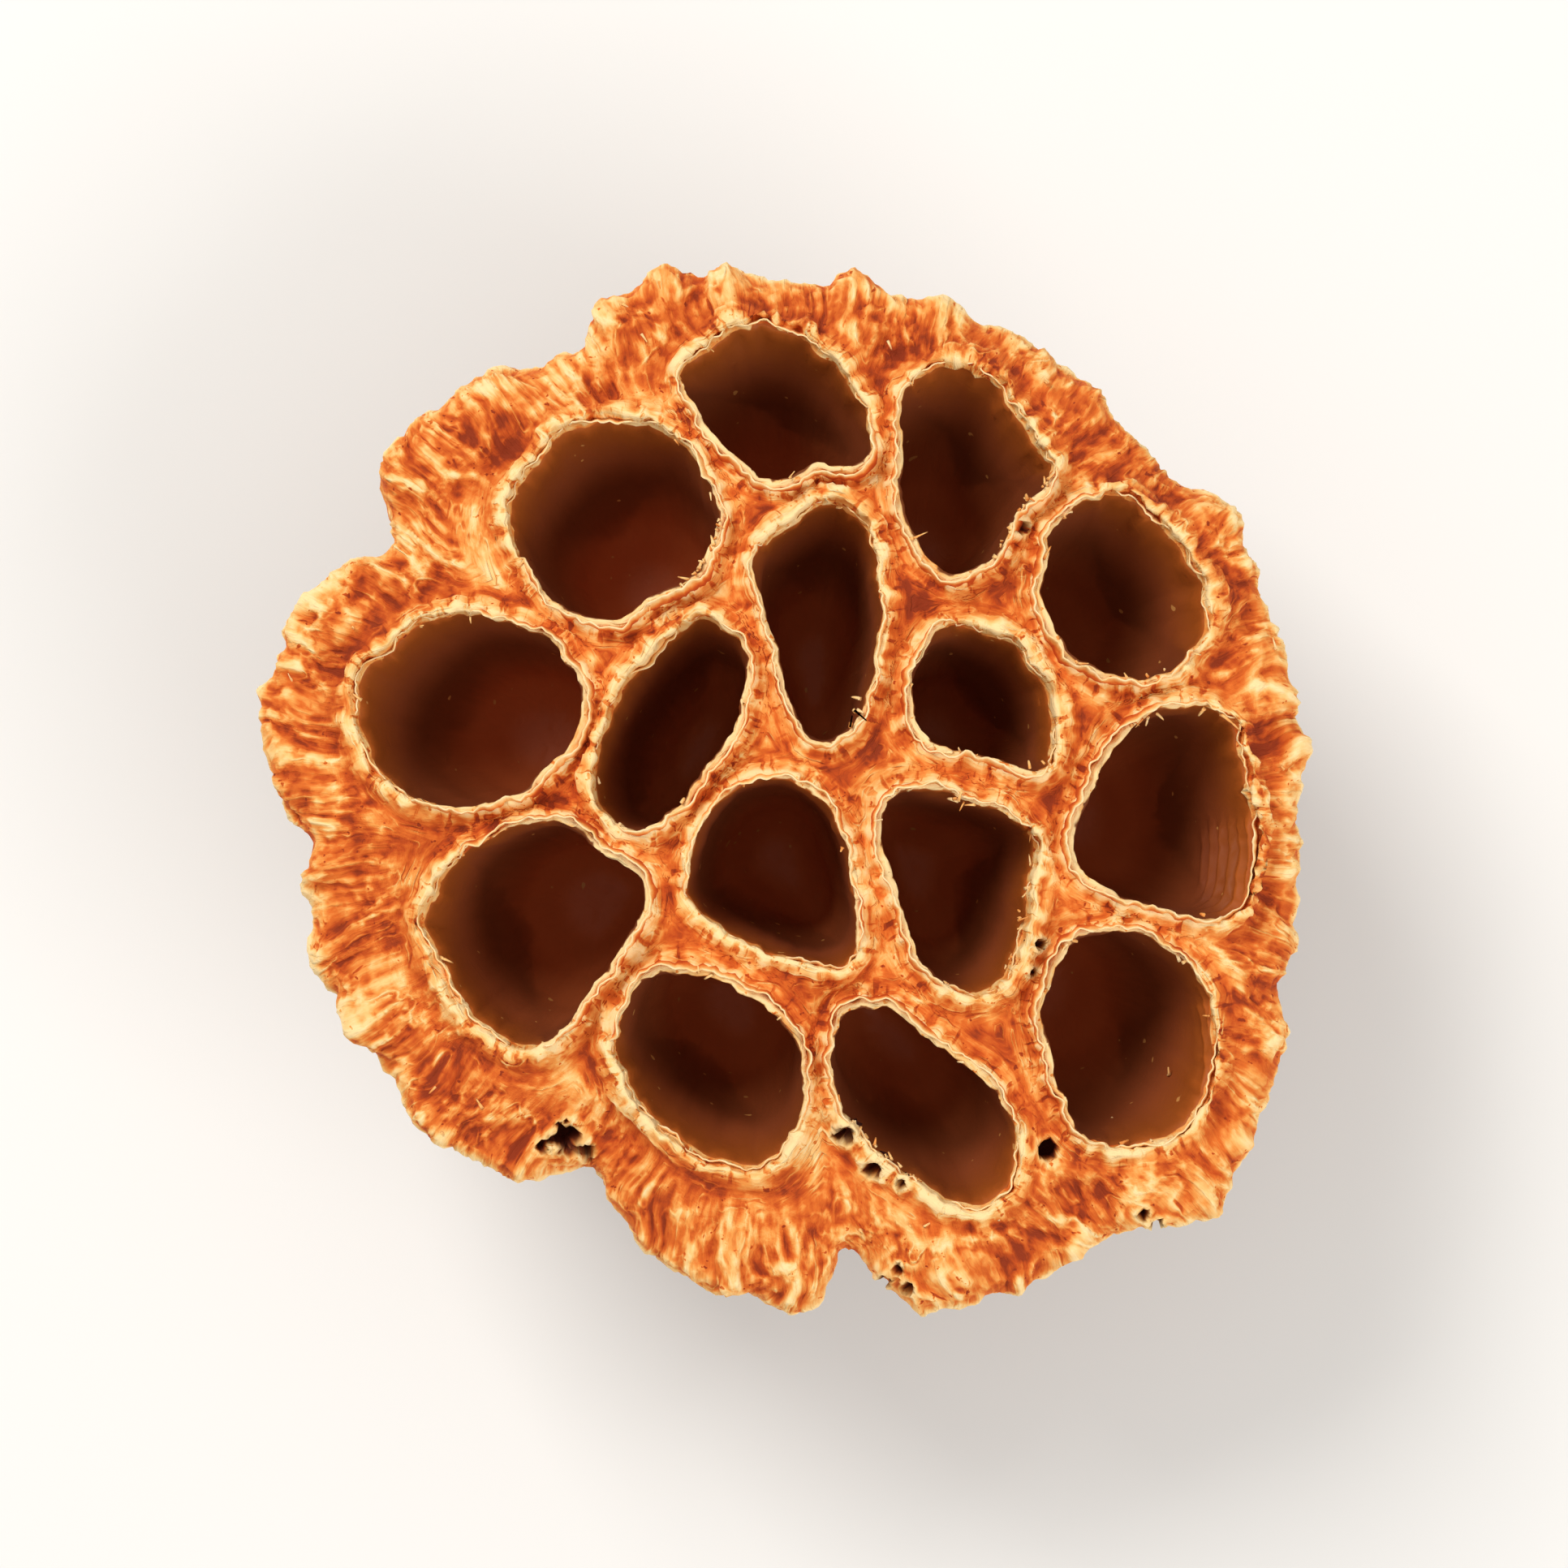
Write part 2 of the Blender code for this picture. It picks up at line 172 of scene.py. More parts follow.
class LotusPodColours(bpy.types.PropertyGroup):
    """Colours of the dried skin and of the cells."""

    # Darkest stop of the skin's colours: painted shade in hollows and deep folds, and the colour of dark pits and
    # dashes
    shade: bpy.props.FloatVectorProperty(
        name="Deep folds", description="Red brown in the deepest folds", subtype="COLOR", size=4,
        default=(0.26, 0.031, 0.005, 1.0), min=0, max=1)
    valley: bpy.props.FloatVectorProperty(
        name="Valleys", description="Red orange between the wrinkles", subtype="COLOR", size=4,
        default=(0.48, 0.066, 0.006, 1.0), min=0, max=1)
    skin: bpy.props.FloatVectorProperty(
        name="Skin", description="Orange of the skin", subtype="COLOR", size=4,
        default=(0.68, 0.145, 0.017, 1.0), min=0, max=1)
    light: bpy.props.FloatVectorProperty(
        name="Light skin", description="Pale orange of the wrinkles' sides", subtype="COLOR", size=4,
        default=(0.82, 0.315, 0.066, 1.0), min=0, max=1)
    ridge: bpy.props.FloatVectorProperty(
        name="Ridges", description="Cream of the ridges and lips", subtype="COLOR", size=4,
        default=(0.90, 0.54, 0.195, 1.0), min=0, max=1)
    flank: bpy.props.FloatVectorProperty(
        name="Flank", description="Brown of the flank below the rim", subtype="COLOR", size=4,
        default=(0.150, 0.043, 0.009, 1.0), min=0, max=1)
    flank_light: bpy.props.FloatVectorProperty(
        name="Flank fibres", description="Tan of the fibres on the flank", subtype="COLOR", size=4,
        default=(0.56, 0.250, 0.068, 1.0), min=0, max=1)
    # Red brown of the lining at full strength, given only at the cells' bottom; the walls above get darker copies,
    # so the bottom is lighter as painted fill light
    lining: bpy.props.FloatVectorProperty(
        name="Cell lining", description="Red brown at the bottom of the cells", subtype="COLOR", size=4,
        default=(0.50, 0.112, 0.030, 1.0), min=0, max=1)
    # Painted light: the lit band on a cell's outer wall just below its lip
    painted_mouth_light: bpy.props.FloatVectorProperty(
        name="Cell mouth", description="Warm brown of a cell's outer wall below its lip", subtype="COLOR", size=4,
        default=(0.50, 0.115, 0.014, 1.0), min=0, max=1)


class LotusPodStage(bpy.types.PropertyGroup):
    """The plain studio."""

    elevation: bpy.props.FloatProperty(
        name="Camera elevation", description="Angle of the camera above the horizon", default=math.radians(87.5),
        subtype="ANGLE")
    lens: bpy.props.FloatProperty(name="Lens", description="Focal length in millimetres", default=120, min=20)
    fill: bpy.props.FloatProperty(
        name="Pod's share of the view", description="The rim's width over the width of the view", default=0.68,
        min=0.1, max=1)
    floor: bpy.props.FloatVectorProperty(
        name="Floor", description="Colour of the plain floor", subtype="COLOR", size=4,
        default=(0.80, 0.79, 0.77, 1.0), min=0, max=1)


def activate(obj):
    """Leaves only this object selected, and active."""
    bpy.ops.object.select_all(action="DESELECT")
    obj.select_set(True)
    bpy.context.view_layer.objects.active = obj


def apply_modifier(obj, kind, name, **values):
    """Adds a modifier with these values and applies it."""
    activate(obj)
    modifier = obj.modifiers.new(name, kind)
    for key, value in values.items():
        setattr(modifier, key, value)
    bpy.ops.object.modifier_apply(modifier=modifier.name)


def read_points(mesh):
    """Vertex positions in millimetres, as rows."""
    flat = np.empty(len(mesh.vertices) * 3, dtype=np.float32)
    mesh.vertices.foreach_get("co", flat)
    return flat.reshape(-1, 3).astype(float) / MM


def write_points(mesh, points):
    """Sets the vertex positions from rows in millimetres."""
    mesh.vertices.foreach_set("co", (points * MM).astype(np.float32).ravel())
    mesh.update()


def read_normals(mesh):
    flat = np.empty(len(mesh.vertices) * 3, dtype=np.float32)
    mesh.vertex_normals.foreach_get("vector", flat)
    return flat.reshape(-1, 3).astype(float)


def read_edges(mesh):
    flat = np.empty(len(mesh.edges) * 2, dtype=np.int32)
    mesh.edges.foreach_get("vertices", flat)
    return flat.reshape(-1, 2)


def averaged(values, edges, rounds, weight=None):
    """Values, one row for each vertex, after rounds of averaging with their neighbours."""
    values = values.copy()
    a, b = edges.T
    count = np.bincount(edges.ravel(), minlength=len(values)).clip(1)
    share = 0.5 if weight is None else 0.5 * weight
    table = values.reshape(len(values), -1)
    for _ in range(rounds):
        for k in range(table.shape[1]):
            column = table[:, k]
            total = np.bincount(a, column[b], len(column)) + np.bincount(b, column[a], len(column))
            table[:, k] = column + (total / count - column) * share
    return table.reshape(values.shape)


def step(low, high, value):
    """0 below low, 1 above high, and smooth between."""
    share = np.clip((value - low) / (high - low), 0, 1)
    return share * share * (3 - 2 * share)


def columns(*values):
    """One row for each vertex, with each of the values as a column."""
    return np.stack(np.broadcast_arrays(*values), axis=1)


def soft_noise(places, where=None):
    """Smooth noise from about -1 to 1, at places in units of its grain, and 0 where it isn't wanted.

    Callers divide places by the grain in millimetres and add a number that only shifts the pattern.
    """
    return sampled(noise.noise, places, where) * 1.6


def crease_noise(places, where=None, octaves=3):
    """Sharp ridges over rounded hollows, about -1 to 1.5, at places in units of its grain."""
    def ridged(place):
        return (noise.ridged_multi_fractal(place, 0.9, 2.1, octaves, 1.0, 2.0) - 1.15) / 0.75
    return sampled(ridged, places, where)


def sampled(function, places, where):
    """The function's value at each place, or 0 outside the mask."""
    found = np.zeros(len(places))
    wanted = np.arange(len(places)) if where is None else np.flatnonzero(where > 0.001)
    found[wanted] = np.fromiter(map(function, places[wanted].tolist()), float, len(wanted))
    return found


def store(mesh, name, values):
    """Keeps one number or three for each vertex as an attribute that the materials read."""
    kind = "FLOAT" if values.ndim == 1 else "FLOAT_VECTOR"
    attribute = mesh.attributes.new(name, kind, "POINT")
    attribute.data.foreach_set("value" if values.ndim == 1 else "vector", values.astype(np.float32).ravel())


def keep_inside(mesh):
    """Brings points that stray past the solid's own box back onto it."""
    write_points(mesh, np.clip(read_points(mesh), POD_LOW, POD_HIGH))


def drop_specks(obj):
    """Deletes the specks that rebuilding leaves beside the surface that the foot belongs to."""
    activate(obj)
    bpy.ops.object.mode_set(mode="EDIT")
    bpy.ops.mesh.select_mode(type="VERT")
    bpy.ops.mesh.select_all(action="DESELECT")
    bpy.ops.object.mode_set(mode="OBJECT")
    obj.data.vertices[int(read_points(obj.data)[:, 2].argmin())].select = True
    bpy.ops.object.mode_set(mode="EDIT")
    bpy.ops.mesh.select_linked()
    bpy.ops.mesh.select_all(action="INVERT")
    bpy.ops.mesh.delete(type="VERT")
    bpy.ops.object.mode_set(mode="OBJECT")


def merged_copy(name):
    """A copy of the CAD node with its loose triangles joined."""
    node = frame["nodes"][NODE]
    activate(node)
    bpy.ops.object.duplicate()
    copy = bpy.context.view_layer.objects.active
    copy.name = name
    copy.data.name = name
    bpy.ops.object.mode_set(mode="EDIT")
    bpy.ops.mesh.select_all(action="SELECT")
    bpy.ops.mesh.remove_doubles(threshold=0.001 * MM)
    bpy.ops.object.mode_set(mode="OBJECT")
    return copy


def solid_tree():
    """The solid's surface in millimetres, to cast rays at."""
    mesh = frame["nodes"][NODE].data
    return BVHTree.FromPolygons([v.co / MM for v in mesh.vertices], [tuple(p.vertices) for p in mesh.polygons])


def resampled(loop, spacing):
    """The closed loop's points spread evenly, at about this spacing and in the same order."""
    closed = np.vstack([loop, loop[:1]])
    lengths = np.concatenate([[0], np.cumsum(np.linalg.norm(np.diff(closed, axis=0), axis=1))])
    count = int(round(lengths[-1] / spacing))
    at = np.linspace(0, lengths[-1], count, endpoint=False)
    return np.stack([np.interp(at, lengths, closed[:, k]) for k in range(3)], axis=1)


def loop_smoothed(loop, rounds):
    """The closed loop after rounds of averaging with the points beside."""
    for _ in range(rounds):
        loop = (np.roll(loop, 1, axis=0) + 2 * loop + np.roll(loop, -1, axis=0)) / 4
    return loop


def measure_mouths(tree, rays=240):
    """The cells' mouths as closed loops of points on their lips, found by rays from the openings' middles."""
    loops = []
    for opening in frame["record"]["physics"]["openings"]:
        if not opening["name"].startswith("seed_cell_") or opening["name"].endswith("_deep"):
            continue
        low, high = (Vector(corner) / MM for corner in opening["box_m"])
        level = POD_HIGH.z - 5
        for _ in range(2):
            middle = Vector(((low.x + high.x) / 2, (low.y + high.y) / 2, level))
            loop = []
            for k in range(rays):
                way = Vector((math.cos(math.tau * k / rays), math.sin(math.tau * k / rays), 0))
                wall = tree.ray_cast(middle, way)[0]
                above = Vector((wall.x, wall.y, ABOVE)) + 0.25 * way
                crest = tree.ray_cast(above, Vector((0, 0, -1)))[0]
                loop.append((wall.x, wall.y, crest.z))
            level = min(point[2] for point in loop) - 0.35
        loop = resampled(loop_smoothed(resampled(np.array(loop), MOUTH_SPACING), 6), MOUTH_SPACING)
        loops.append(loop)
    return loops


def loop_normals(loop):
    """The level direction out of the loop at each of its points."""
    along = np.roll(loop, -1, axis=0) - np.roll(loop, 1, axis=0)
    out = columns(along[:, 1], -along[:, 0], np.zeros(len(loop)))
    return out / np.linalg.norm(out, axis=1)[:, None]


def wobble(places):
    """How far a mouth's edge strays outwards at places along it."""
    return 0.30 * soft_noise(places / 2.6 + 71) + 0.14 * soft_noise(places / 1.0 + 81)


def outer_radius(tree, angle, height):
    """The solid's outer radius at each vertex's angle and height, from rays cast inwards all round."""
    turns, levels = 180, np.arange(0.25, POD_HIGH.z - 4, 0.5)
    grid = np.zeros((turns, len(levels)))
    for i in range(turns):
        way = Vector((math.cos(math.tau * i / turns), math.sin(math.tau * i / turns), 0))
        for j, level in enumerate(levels):
            hit = tree.ray_cast(way * 2 * RIM_RADIUS + Vector((0, 0, level)), -way)[0]
            grid[i, j] = hit.xy.length if hit else grid[i, j - 1]
    turn = (angle % math.tau) / math.tau * turns
    rise = np.clip((height - levels[0]) / 0.5, 0, len(levels) - 1.001)
    i, j = turn.astype(int), rise.astype(int)
    u, v = turn - i, rise - j
    i, k = i % turns, (i + 1) % turns
    return ((1 - u) * (1 - v) * grid[i, j] + u * (1 - v) * grid[k, j]
            + (1 - u) * v * grid[i, j + 1] + u * v * grid[k, j + 1])


def nearest(points, targets):
    """For each point, the number of the nearest target, level distances alone."""
    tree = KDTree(len(targets))
    for index, (x, y, _) in enumerate(targets.tolist()):
        tree.insert((x, y, 0), index)
    tree.balance()
    return np.array([tree.find((x, y, 0))[1] for x, y, _ in points.tolist()])


def around_axis(points):
    """Radius, angle and outward direction of each point about the pod's axis."""
    radius = np.hypot(points[:, 0], points[:, 1])
    angle = np.arctan2(points[:, 1], points[:, 0])
    return radius, angle, columns(np.cos(angle), np.sin(angle), np.zeros(len(angle)))


def rim_line(radius, angle, height):
    """The rim's radius and height at each vertex's angle, from the widest vertices all round."""
    bins = 360
    place = ((angle + math.pi) / math.tau * bins).astype(int) % bins
    widest = np.zeros(bins)
    np.maximum.at(widest, place, radius)
    near = radius > widest[place] - 0.4
    level = np.bincount(place[near], height[near], bins) / np.bincount(place[near], minlength=bins).clip(1)
    for _ in range(3):
        widest = (np.roll(widest, 1) + widest + np.roll(widest, -1)) / 3
        level = (np.roll(level, 1) + level + np.roll(level, -1)) / 3
    exact = (angle + math.pi) / math.tau * bins - 0.5
    return (np.interp(exact, np.arange(bins), widest, period=bins),
            np.interp(exact, np.arange(bins), level, period=bins))


class Surface:
    """Where each vertex of the rebuilt skin lies: in a cell, on a lip or web, on the rim or on the flank."""

    def __init__(self, mesh, tree, loops):
        self.points = read_points(mesh)
        self.edges = read_edges(mesh)
        self.radius, angle, self.outward = around_axis(self.points)
        rim_radius, rim_height = rim_line(self.radius, angle, self.points[:, 2])
        self.inward = rim_radius - self.radius
        self.below = rim_height - self.points[:, 2]

        mouths = np.vstack(loops)
        number = nearest(self.points, mouths)
        self.mouth = mouths[number]
        self.mouth_out = np.vstack([loop_normals(loop) for loop in loops])[number]
        away = (self.points - self.mouth) * (1, 1, 0)
        side = np.sign((away * self.mouth_out).sum(axis=1))
        self.past = side * np.linalg.norm(away, axis=1)
        self.deep = self.mouth[:, 2] - self.points[:, 2]
        self.wobble = wobble(mouths)[number]

        height = self.points[:, 2]
        outside = self.radius > outer_radius(tree, angle, height) - 0.75
        outside |= height < CELL_BOTTOM
        outside |= (self.radius > 0.8 * RIM_RADIUS) & (self.past > 0.3) & (height > SHOULDER)
        lined = ~outside & ((self.deep > 2.2) | ((self.past < 0.15) & (self.deep > 0.25)))
        self.lining = averaged(lined.astype(float), self.edges, 2)
        skin = 1 - self.lining
        self.face = skin * step(1.2, -0.4, self.below)
        self.flank = skin * step(0.2, 3.0, self.below) * step(0.0, 3.0, height)
        self.band = skin * step(9.5, 5.0, self.inward) * step(8.0, 3.5, self.below)
        self.band *= np.maximum(step(0.9, 2.6, self.past), step(6.5, 3.5, self.inward))
        self.crest = skin * step(1.5, 0.5, np.abs(self.past - 0.3)) * step(1.6, 0.8, self.deep)
        self.web = self.face * step(0.7, 1.5, self.past) * (1 - self.band)

        centres = np.array([loop.mean(axis=0) for loop in loops])
        lean = 1 - 0.22 * np.clip(self.deep / 19, 0, 1)
        upright = self.points[:, :2] / lean[:, None]
        gaps = np.stack([np.hypot(*(upright - centre[:2]).T) for centre in centres])
        self.cell = gaps.argmin(axis=0)
        self.spoke = upright - centres[self.cell][:, :2]

    def ring(self):
        """Each vertex's place round the rim, as a point of a level circle of the rim's size."""
        return self.outward * RIM_RADIUS


def model_holes(surface, points, normals):
    """Sinks the named holes into the skin, and tells how far each vertex is inside one."""
    inside = np.zeros(len(points))
    ragged = soft_noise(points / 0.7 + 91) + 0.6 * soft_noise(points / 0.35 + 97)
    for x, y, radius, depth in HOLES.values():
        gap = np.hypot(points[:, 0] - x, points[:, 1] - y) + 0.30 * radius * ragged
        here = (surface.lining < 0.5) * step(1.8, 0.9, surface.below)
        share = step(1.0, 0.5, gap / radius) * here
        rim = step(1.9, 1.25, gap / radius) * step(0.7, 1.05, gap / radius) * here
        points = points - normals * (depth * share - 0.25 * rim)[:, None]
        inside = np.maximum(inside, step(1.1, 0.8, gap / radius) * here)
    return points, inside


def crumple_skin(mesh, sizes, tree, loops):
    """Moves the rebuilt skin into folds, creases and fibres, and stores what its material reads."""
    surface = Surface(mesh, tree, loops)
    points, edges = surface.points, surface.edges
    lining, face, flank, band, crest = surface.lining, surface.face, surface.flank, surface.band, surface.crest

    points = averaged(points, edges, 8, weight=1 - 0.9 * crest)
    rounded = np.clip(lining * step(0.8, 2.5, surface.deep) + 0.7 * flank * step(2, 6, surface.below), 0, 1)
    points = averaged(points, edges, 40, weight=rounded)
    write_points(mesh, points)
    normals = averaged(read_normals(mesh), edges, 3)
    normals /= np.linalg.norm(normals, axis=1)[:, None]

    ring = surface.ring()
    across = np.where(surface.below > 0, -0.45 * surface.below, surface.inward)
    warp = columns(soft_noise(points / 5.0 + 11), soft_noise(points / 4.0 + 31), soft_noise(points / 3.0 + 51))
    rim_grain = columns(ring[:, 0], ring[:, 1], across / 2.6) / 1.8 + 0.5 * warp
    comb_grain = columns(ring[:, 0] / 0.62, ring[:, 1] / 0.62, across / 4.5) + 0.9 * warp
    web_grain = columns(surface.past / 0.62, points[:, 0] / 3.6, points[:, 1] / 3.6) + 0.45 * warp
    flank_grain = columns(ring[:, 0] / 1.7, ring[:, 1] / 1.7, points[:, 2] / 15) + 0.35 * warp
    spoke = surface.spoke / np.linalg.norm(surface.spoke, axis=1)[:, None].clip(0.01)
    cell_grain = columns(spoke[:, 0] * 6.5, spoke[:, 1] * 6.5, points[:, 2] / 9 + 3.7 * surface.cell)

    pleats = crease_noise(rim_grain, band)
    gathers = crease_noise(rim_grain * 0.5 + 19, band, 2)
    small_pleats = crease_noise(rim_grain * 2.1 + 9, band, 2)
    comb = soft_noise(comb_grain, band)
    lumps = soft_noise(points / 4.6 + 41, band) * step(4.5, 0.5, surface.below)
    creases = crease_noise(points / 2.4 + 0.4 * warp + 5, np.maximum(face, band))
    streaks = soft_noise(web_grain, surface.web)
    slope = (1 - lining) * step(2.3, 1.2, surface.past) * step(0.1, 0.5, surface.past) * step(2.6, 1.6, surface.deep)
    ribs = soft_noise(columns(surface.mouth[:, 0], surface.mouth[:, 1], surface.past / 3) / 0.8 + 37, slope)
    fine = soft_noise(points / 0.8 + 3)
    fibres = crease_noise(flank_grain, flank)
    folds = soft_noise(columns(ring[:, 0] / 5, ring[:, 1] / 5, points[:, 2] / 26) + 17, flank)
    striae = soft_noise(cell_grain, lining)
    hollows = soft_noise(points / 5 + 41, lining)

    hem = step(2.2, 0.2, np.abs(surface.inward)) * step(2.6, 0.2, np.abs(surface.below)) * (1 - lining)
    peel_edge = PEEL_EDGE + 1.5 * soft_noise(ring / 4.2 + 61) + 0.7 * soft_noise(ring / 1.4 + 67)
    peel = (1 - lining) * step(0.35, -0.35, surface.below - peel_edge) * step(1.5, 4.0, surface.below)
    side = step(0.3, 2.5, surface.below)
    lift = sizes.pleat / MM * band * (1 - 0.4 * side) * (
        pleats * (0.5 - 0.1 * hem) + 0.4 * small_pleats * (0.3 + 0.3 * hem) + 0.9 * gathers * (1 - 0.5 * hem))
    lift += sizes.lump / MM * lumps * band * (1 - 0.5 * hem) + 0.10 * comb * band
    lift += sizes.crumple / MM * creases * np.maximum(0.6 * face, band) * (1 - 0.6 * crest) * (1 - 0.6 * hem)
    lift += 0.13 * streaks * surface.web + 0.20 * ribs * slope
    lift += 0.055 * fine * (1 - lining) * (1 - 0.85 * flank)
    lift += sizes.fibre / MM * fibres * flank * step(3.0, 7.5, surface.below)
    lift += 0.5 * folds * flank * step(2.0, 9.0, surface.below) + 0.4 * peel
    lift += lining * step(0.6, 3.0, surface.deep) * (0.07 * striae + 0.16 * hollows)
    rung = lining * step(30.5, 32.0, points[:, 0]) * step(-1.5, -4.0, points[:, 1]) * step(9.0, 6.0, surface.deep)
    lift += 0.22 * rung * np.sin(points[:, 2] * math.tau / 1.25 + points[:, 1] + warp[:, 0])
    points = points + normals * lift[:, None]

    scallops = 0.36 * soft_noise(ring / 2.9 + 23) + 0.20 * soft_noise(rim_grain * 1.2 + 29)
    points = points + surface.outward * (hem * scallops)[:, None]
    at_mouth = step(2.6, 0.6, np.abs(surface.past)) * step(6.0, 1.0, surface.deep) * (surface.inward > 2)
    points = points + surface.mouth_out * (at_mouth * surface.wobble)[:, None]
    points[:, 2] -= 0.30 * crest
    points, hole = model_holes(surface, points, normals)
    points[:, 2] = np.clip(points[:, 2], 0, POD_HIGH.z)
    write_points(mesh, points)

    normals = read_normals(mesh)
    near = ((points - averaged(points, edges, 8)) * normals).sum(axis=1)
    wide = ((points - averaged(points, edges, 50)) * normals).sum(axis=1)
    skin = 1 - lining
    crest_line = skin * step(0.75, 0.25, np.abs(surface.past - 0.2)) * step(1.4, 0.7, surface.deep)
    hem_line = skin * step(0.75, 0.1, np.abs(surface.inward)) * step(1.5, 0.3, np.abs(surface.below))
    tone = 1.0 * crest_line + 1.5 * hem_line + 0.45 * skin * step(2.8, 0.6, np.abs(surface.inward)) * band
    tone += 0.85 * skin * step(2.3, 0.8, surface.past) * step(3.0, 1.5, surface.deep) * (1 - band)
    pocket = step(-0.05, 0.40, soft_noise(points / 3.6 + 131, surface.web))
    tone += surface.web * step(1.2, 2.4, surface.past) * (0.45 - 1.75 * pocket)
    tone -= 0.40 * skin * side * (1 - flank * step(5, 8, surface.below))
    tone += 1.3 * skin * step(17, 6.5, surface.below) * step(4.5, 6.5, surface.below)
    # Painted highlight and shade: the rim is lighter on the tops of its lumps, pleats and gathers and on the lips'
    # ribs, and darker between them
    tone += band * (0.30 * lumps + 0.3 * pleats + 0.45 * gathers) + 0.2 * ribs * slope
    # Painted light: walls on the pod's outer side, and more so those facing +Y where the key light stands, take the
    # cells' lit colour
    lit_side = (surface.mouth_out * surface.outward).sum(axis=1) + 0.35 * surface.mouth_out[:, 1]
    store(mesh, "tone", np.clip(tone, -2, 2))
    # The fine and the broad curvature stored next only colour the skin: painted highlight on ridges and bulges,
    # painted shade in creases and hollows
    store(mesh, "ridge", np.clip(near / 0.07, -2.5, 2.5))
    store(mesh, "painted_broad_shade", np.clip(wide / 0.35, -2.5, 2.5))
    store(mesh, "lining", lining)
    store(mesh, "depth", np.clip(surface.deep, 0, 30))
    store(mesh, "lit_side", averaged(lit_side, edges, 6))
    store(mesh, "flank", skin * step(-0.5, 0.5, surface.below - peel_edge))
    store(mesh, "band", averaged(band, edges, 2))
    # How far each vertex is inside a hole, where the material paints shade
    store(mesh, "hole", hole)
    store(mesh, "rim_grain", rim_grain)
    store(mesh, "comb_grain", comb_grain)
    store(mesh, "web_grain", web_grain)
    store(mesh, "lip_grain", columns(surface.mouth[:, 0] / 0.55, surface.mouth[:, 1] / 0.55, surface.past / 1.9))
    store(mesh, "slope", averaged(slope, edges, 2))
    store(mesh, "side", skin * step(0.4, 2.4, surface.below))
    store(mesh, "flank_grain", flank_grain)
    store(mesh, "cell_grain", cell_grain)


class LOTUSPOD_OT_model_skin(bpy.types.Operator):
    """Model the pod's whole skin: pleated rim, creased face, fibrous flank and smooth cells"""

    bl_idname = "lotus_pod.model_skin"
    bl_label = "Model skin"
    bl_options = {"REGISTER", "UNDO"}

    def execute(self, context):
        sizes = context.scene.lotus_pod_surface
        tree = solid_tree()
        loops = measure_mouths(tree)
        skin = merged_copy("pod_skin")
        voxel = sizes.voxel * 1
        apply_modifier(skin, "REMESH", "rebuild", mode="VOXEL", voxel_size=voxel, adaptivity=0)
        crumple_skin(skin.data, sizes, tree, loops)
        total = len(skin.data.polygons) * 2
        apply_modifier(skin, "TRIANGULATE", "triangles")
        apply_modifier(skin, "DECIMATE", "thin out", ratio=min(1, sizes.triangles / total))
        drop_specks(skin)
        keep_inside(skin.data)
        bpy.ops.object.shade_smooth()
        skin.data.materials.clear()
        skin.data.materials.append(skin_material(context.scene.lotus_pod_colours))
        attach(skin, BODY)
        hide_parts(NODE)
        return {"FINISHED"}


class LOTUSPOD_OT_model_lips(bpy.types.Operator):
    """Model the thin papery lip that stands round each cell's mouth, with its torn upper edge"""

    bl_idname = "lotus_pod.model_lips"
    bl_label = "Model lips"
    bl_options = {"REGISTER", "UNDO"}

    ROWS = 7  # strips that a lip is extruded in
    ROOT = 1.5  # how deep a lip starts below the mouth's edge

    def execute(self, context):
        sizes = context.scene.lotus_pod_surface
        loops = measure_mouths(solid_tree())
        bpy.ops.object.select_all(action="DESELECT")
        rings = []
        for loop in loops:
            bpy.ops.mesh.primitive_circle_add(vertices=len(loop), radius=MM)
            ring = context.view_layer.objects.active
            write_points(ring.data, loop)
            rings.append(ring)
        for ring in rings:
            ring.select_set(True)
        bpy.ops.object.join()
        lips = context.view_layer.objects.active
        lips.name = lips.data.name = "pod_lips"
        bpy.ops.object.mode_set(mode="EDIT")
        bpy.ops.mesh.select_all(action="SELECT")
        for _ in range(self.ROWS):
            bpy.ops.mesh.extrude_edges_move(TRANSFORM_OT_translate={"value": (0, 0, LIP_STEP * MM)})
        bpy.ops.object.mode_set(mode="OBJECT")
        tear_lips(lips.data, loops, sizes, self.ROWS, self.ROOT)
        bpy.ops.object.mode_set(mode="EDIT")
        bpy.ops.mesh.select_all(action="SELECT")
        bpy.ops.mesh.normals_make_consistent(inside=False)
        bpy.ops.object.mode_set(mode="OBJECT")
        lips.vertex_groups.new(name="thickness")
        rise = np.empty(len(lips.data.vertices), dtype=np.float32)
        lips.data.attributes["rise"].data.foreach_get("value", rise)
        for index, share in enumerate(rise.tolist()):
            lips.vertex_groups["thickness"].add([index], 1 - 0.75 * share, "REPLACE")
        apply_modifier(lips, "SOLIDIFY", "thickness", thickness=sizes.lip_thickness, offset=0,
                       vertex_group="thickness", thickness_vertex_group=0.1)
        apply_modifier(lips, "TRIANGULATE", "triangles")
        bpy.ops.object.shade_smooth()
        bpy.ops.object.transform_apply(location=True, rotation=True, scale=True)
        lips.data.materials.clear()
        lips.data.materials.append(lip_material(context.scene.lotus_pod_colours))
        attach(lips, BODY)
        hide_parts(NODE)
        return {"FINISHED"}


